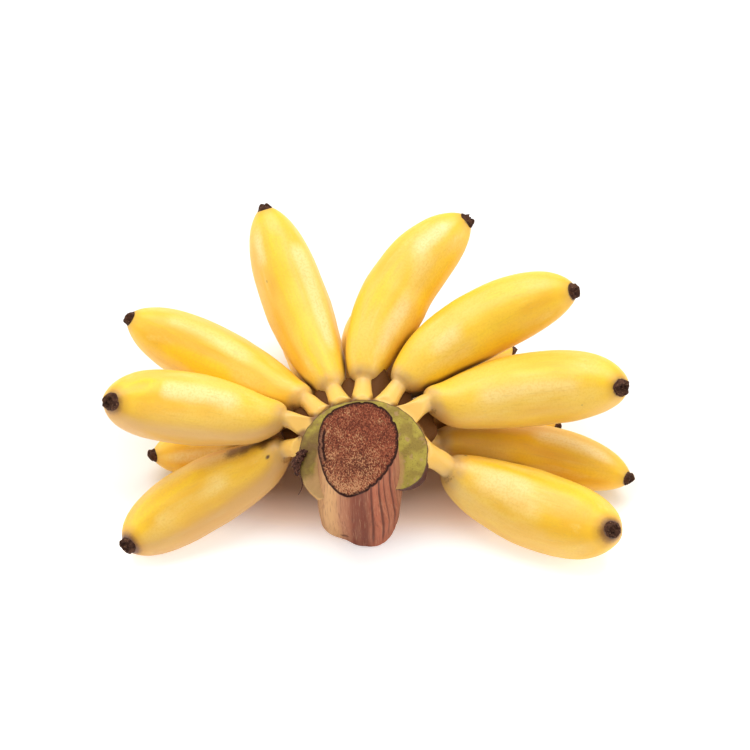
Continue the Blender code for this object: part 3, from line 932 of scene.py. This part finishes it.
def cushion(angle, height):
    """How far the crown's wall bulges between the two rows of necks, in metres; it is painted dark as shade
    there.
    """
    turn = math.degrees(angle) % 360.0
    fruited = min(1.0, max(0.0, (turn - 14.0) / 14.0)) * min(1.0, max(0.0, (172.0 - turn) / 14.0))
    scallops = 0.85 + 0.15 * math.cos(math.radians(18.0 * turn))
    deeper = 1.0 + 0.55 * hump(turn, 78.0, 16.0)
    return 12.5 * MM * fruited * scallops * deeper * bell(height, -9.0, 5.5)


def make_crown(finish):
    across, up, out = tilted_axes(CROWN_LEAN)
    edge_height, edge_share = CROWN_LEVELS[CROWN_RIM]
    rings = []
    marks = {key: [] for key in ("rim", "by_stalk", "wall", "sunk", "front", "barky", "brown")}
    for level, (height, share) in enumerate(CROWN_LEVELS):
        ring = []
        row = {key: [] for key in marks}
        below_rim = min(1.0, max(0.0, (3.0 - height) / 5.0))
        for i in range(CROWN_SIDES):
            angle = 2 * math.pi * i / CROWN_SIDES
            turn = math.degrees(angle)
            side = across * math.cos(angle) + up * math.sin(angle)
            bulge = cushion(angle, height)
            bark = hump(turn, *BARKY)
            radius = crown_radius(angle) * share + bulge + 2.3 * MM * bark * bell(height, -1.0, 3.5)
            radius -= 6.0 * MM * hump(turn, *WALL_INSET) * below_rim
            point = CROWN_CENTRE + side * radius + out * height * MM
            bumpy = 0.45 * MM * rough(point, 170.0) + 0.15 * MM * rough(point, 700.0)
            point = point + (side * 0.7 + out * 0.5) * bumpy
            inward = (share - edge_share) * crown_radius(angle) / MM
            ring.append(point)
            row["rim"].append(math.hypot(height - edge_height, inward))
            row["by_stalk"].append(stalk_reach(point))
            row["wall"].append(float(level < CROWN_RIM))
            row["sunk"].append(bulge / MM)
            row["front"].append(sum(hump(turn, *place) for place in CREAM_FRONT))
            row["barky"].append(bark)
            row["brown"].append(hump(turn, *BROWN))
        rings.append(ring)
        for key, values in row.items():
            marks[key].append(values)
    crown = lay_skin("crown_skin", rings, [finish], {"grain": rings}, marks)
    return settle(crown, "crown", "crown")


# Stalk

# Grooves down the stalk: degrees round from its front, width in degrees and depth in mm.
GROOVES = (
    (19, 2.0, 0.6), (33, 2.2, 0.7), (43, 1.8, 0.5), (57, 2.2, 0.7), (68, 1.9, 0.4), (-58, 2.0, 0.2),
    (-100, 2.5, 0.5), (96, 2.0, 0.5), (120, 2.5, 0.6), (150, 2.0, 0.5), (-140, 2.0, 0.5),
    (175, 2.5, 0.6))
# Where the bark is torn at the cut: degrees round and width, and a smaller tear beside it.
TORN = (-98, 25)
TORN_BESIDE = (-124, 6)
# Towards the upper right of the cut: its low left lies the other way.
UP_RIGHT = Vector((0.7, 0.5, 0.5))
# Shares of the radius of the rings that close the foot, and of those over the cut.
FOOT_SHARES = (0.03, 0.25, 0.5, 0.75, 0.92, 0.98)
CUT_SHARES = (
    0.992, 0.975, 0.955, 0.93, 0.90, 0.85, 0.79, 0.72, 0.65, 0.58, 0.5, 0.42, 0.34, 0.26, 0.18, 0.1,
    0.03)
# How far from the cut the foot counts as (mm).
FAR_FROM_CUT = 30.0


def stalk_share(turn, along):
    """The stalk's section: narrow in front at its top, and with blunt corners at its foot."""
    top = 0.97 - 0.10 * hump(turn, 42, 38) + 0.05 * hump(turn, -18, 14)
    top += 0.13 * hump(turn, -130, 24) - 0.04 * hump(turn, -75, 14)
    foot = 1.03 + 0.08 * hump(turn, 33, 24) - 0.10 * hump(turn, -24, 22) + 0.05 * hump(turn, -62, 20)
    share = min(1.0, max(0.0, (20.0 * MM - along) / (45.0 * MM)))
    share = share * share * (3.0 - 2.0 * share)
    return top + (foot - top) * share


def stalk_point(turn, along):
    """Point on the stalk's skin, and how deep its grooves are there (mm)."""
    across, up, axis = tilted_axes(STALK_LEAN)
    angle = math.radians(turn - 90.0)
    share = stalk_share(turn, along)
    side = across * math.cos(angle) + up * math.sin(angle)
    wavy = turn + 0.7 * rough(Vector((0.0, 0.0, along)), 45.0)
    depth = sum(deep * hump(wavy, middle, width) for middle, width, deep in GROOVES)
    depth *= 1.0 - 0.85 * bell(along, STALK_BOTTOM, 6.0 * MM)
    flat = STALK_CENTRE + side * between(STALK_LEVELS, along) * share + axis * along
    uneven = 0.30 * MM * rough(Vector((flat.x, flat.y, flat.z * 0.2)), 150.0)
    return flat + side * (uneven - depth * MM), depth


def stalk_end(turn, start, facing_out, centre):
    """How far along the stalk its skin meets an end's plane."""
    axis = tilted_axes(STALK_LEAN)[2]
    along = start
    for _ in range(8):
        point = stalk_point(turn, along)[0]
        along -= facing_out.dot(point - centre) / facing_out.dot(axis)
    return along


def make_stalk(bark, cut):
    across, up, axis = tilted_axes(STALK_LEAN)
    rise, aside = math.radians(STALK_TOP_RISE), math.radians(STALK_TOP_TURN)
    facing = Vector((-math.sin(aside), -math.cos(aside), 0.0)) * math.cos(rise)
    facing.z = math.sin(rise)
    top_centre = STALK_CENTRE + axis * STALK_TOP
    bottom_facing = (across * STALK_BOTTOM_SLOPE - axis).normalized()
    bottom_centre = STALK_CENTRE + axis * STALK_BOTTOM

    turns = [360.0 * i / STALK_SIDES - 180.0 for i in range(STALK_SIDES)]
    tops = [stalk_end(turn, STALK_TOP, facing, top_centre) for turn in turns]
    bottoms = [stalk_end(turn, STALK_BOTTOM, bottom_facing, bottom_centre) for turn in turns]
    rings, grain = [], []
    marks = {key: [] for key in ("turn", "groove", "rim", "torn", "charred", "low_left")}
    charred = top_centre + Vector((1.5, -4.5, -4.5)) * MM

    def add_ring(points, depths, to_rim):
        rings.append(points)
        grain.append([Vector(((point - STALK_CENTRE).dot(across), (point - STALK_CENTRE).dot(up),
                              (point - STALK_CENTRE).dot(axis))) for point in points])
        marks["turn"].append(turns)
        marks["groove"].append(depths)
        marks["rim"].append(to_rim)
        marks["torn"].append([hump(turn, *TORN) for turn in turns])
        marks["charred"].append([bell((point - charred).length / MM, 0.0, 6.0) for point in points])
        marks["low_left"].append([(top_centre - point).dot(UP_RIGHT) / (20 * MM) for point in points])

    first = [stalk_point(turn, low)[0] for turn, low in zip(turns, bottoms)]
    middle = sum(first, Vector()) / STALK_SIDES
    for share in FOOT_SHARES:
        points = [middle.lerp(point, share) for point in first]
        add_ring(points, [0.0] * STALK_SIDES, [FAR_FROM_CUT] * STALK_SIDES)
    steps = 44
    for step in range(steps + 1):
        share = step / steps
        share = share + 0.06 * math.sin(2 * math.pi * share) / math.pi
        points, depths, to_rim = [], [], []
        for turn, low, high in zip(turns, bottoms, tops):
            along = low + (high - low) * share
            point, depth = stalk_point(turn, along)
            depth += 1.2 * hump(turn, -24, 7) * bell(along, low + 5.0 * MM + 0.1 * MM * (turn + 24), 0.9 * MM)
            points.append(point)
            depths.append(depth)
            to_rim.append((high - along) / MM)
        add_ring(points, depths, to_rim)
    side_rings = len(rings)
    edge = [stalk_point(turn, high)[0] for turn, high in zip(turns, tops)]
    middle = sum(edge, Vector()) / STALK_SIDES
    for share in CUT_SHARES:
        points, to_rim = [], []
        for turn, point in zip(turns, edge):
            inside = middle.lerp(point, share)
            lift = 0.55 * MM * rough(inside, 330.0, 4) + 0.3 * MM * bell(share, 0.955, 0.02)
            lip = hump(turn, *TORN) + 0.8 * hump(turn, *TORN_BESIDE)
            lift += 1.0 * MM * lip * bell(share, 0.95, 0.05)
            points.append(inside + facing * lift)
            to_rim.append((point - inside).length / MM)
        add_ring(points, [0.0] * STALK_SIDES, to_rim)
    stalk = lay_skin("stalk_skin", rings, [bark, cut], {"grain": grain}, marks, side_rings - 1)
    return settle(stalk, "stalk", "stalk")


# Dried bract


def make_bract(finish):
    """A crumpled dark crust on the left of the crown, and the loose thread that hangs from it."""
    rings, grain = [], []
    lean = Matrix.Rotation(math.radians(-50.0), 4, "X") @ Matrix.Rotation(math.radians(18.0), 4, "Y")
    stand = Matrix.Translation(BRACT_CENTRE) @ lean
    levels, sides = 40, 40
    for level in range(levels + 1):
        tall = -math.cos(math.pi * (0.02 + 0.96 * level / levels))
        wide = math.sqrt(1.0 - tall * tall) * (0.85 + 0.15 * tall)
        ring, coats = [], []
        for i in range(sides):
            turn = 2 * math.pi * i / sides
            bowed = 2.5 * (math.cos(turn) * wide + 0.5 * tall * tall)
            flat = Vector((bowed, 1.1 * math.sin(turn) * wide, 6.3 * tall))
            crumple = 1.0 + 0.5 * rough(flat, 0.7, 5)
            folded = Vector((
                flat.x * crumple, flat.y * crumple + 0.9 * rough(flat, 0.5),
                flat.z + 0.7 * rough(flat, 0.9)))
            ring.append(stand @ (folded * MM))
            coats.append(folded * MM)
        rings.append(ring)
        grain.append(coats)
    bract = lay_skin("dried_bract_flake", rings, [finish], {"grain": grain}, {})
    settle(bract, "bract", "dried_bract")

    rings = []
    steps, sides = 24, 8
    for step in range(steps + 1):
        share = step / steps
        fall = Vector((-0.4 + 2.4 * math.sin(2.9 * share), -3.4 - 8.0 * share, -3.0 - 6.4 * share))
        middle = BRACT_CENTRE + fall * MM
        size = (0.34 - 0.18 * share) * MM
        ring = []
        for i in range(sides):
            turn = 2 * math.pi * i / sides
            side = Vector((math.cos(turn), 0.64 * math.sin(turn), -0.77 * math.sin(turn)))
            ring.append(middle + side * size)
        rings.append(ring)
    thread = lay_skin("dried_bract_thread", rings, [finish], {"grain": rings}, {})
    settle(thread, "bract")


# Table and light


def make_floor():
    """A white table, lit a little from within in front of the hand, with painted warm shade near the crown.
    """
    floor = bpy.data.meshes.new("floor")
    reach = 6.0
    corners = [(-reach, -reach, 0.0), (reach, -reach, 0.0), (reach, reach, 0.0), (-reach, reach, 0.0)]
    floor.from_pydata(corners, [], [(0, 1, 2, 3)])
    thing = bpy.data.objects.new("floor", floor)
    bpy.context.scene.collection.objects.link(thing)
    finish = Finish("floor")
    place = finish.add("ShaderNodeTexCoord", {}, {}, "Object")
    along = finish.add("ShaderNodeSeparateXYZ", {}, {0: place}, "Y")
    away = finish.add("ShaderNodeVectorMath", {"operation": "DISTANCE"}, {0: place, 1: WARM_SHADE_CENTRE}, "Value")
    # Painted warm shade near the crown.
    warm_shade = away.ramp(*WARM_SHADE_SPAN) * along.ramp(*WARM_SHADE_FRONT)
    glow = finish.mix(warm_shade, (1.0, 1.0, 1.0), (1.0, 0.74, 0.60))
    floor.materials.append(finish.wear(
        Base_Color=finish.mix(warm_shade, (0.88, 0.88, 0.88), (0.88, 0.66, 0.52)),
        Roughness=0.9,
        Emission_Color=finish.mix(along.ramp(*GLOW_SPAN), (0.0, 0.0, 0.0), glow),
        Emission_Strength=0.45))


def light_studio():
    world = bpy.data.worlds.new("studio")
    bpy.context.scene.world = world
    world.use_nodes = True
    back = world.node_tree.nodes["Background"]
    back.inputs["Color"].default_value = (1.0, 1.0, 1.0, 1.0)
    level, behind, above = SKY
    look = world.node_tree.nodes.new("ShaderNodeTexCoord")
    slope = world.node_tree.nodes.new("ShaderNodeVectorMath")
    slope.operation = "DOT_PRODUCT"
    slope.inputs[1].default_value = (0.0, behind, above)
    total = world.node_tree.nodes.new("ShaderNodeMath")
    total.inputs[1].default_value = level
    world.node_tree.links.new(look.outputs["Generated"], slope.inputs[0])
    world.node_tree.links.new(slope.outputs["Value"], total.inputs[0])
    world.node_tree.links.new(total.outputs[0], back.inputs["Strength"])
    for name, energy, width, toward in LAMPS:
        sun = bpy.data.lights.new(name, "SUN")
        sun.energy = energy
        sun.angle = math.radians(width)
        lamp = bpy.data.objects.new(name, sun)
        lamp.rotation_euler = (-Vector(toward)).to_track_quat("-Z", "Y").to_euler()
        bpy.context.scene.collection.objects.link(lamp)
    bpy.context.scene.view_settings.view_transform = "Standard"


def dress_hand():
    peel = peel_finish()
    husk = husk_finish()
    make_crown(crown_finish())
    make_stalk(bark_finish(), cut_finish())
    make_bract(flake_finish())
    fruits = {}
    for number, (name, spec) in enumerate(BANANAS.items()):
        fruits[name] = make_banana(name, spec, number, peel)
        make_flower_end(name, spec, number, husk)
    paint_shade_marks(fruits)


make_floor()
light_studio()
dress_hand()
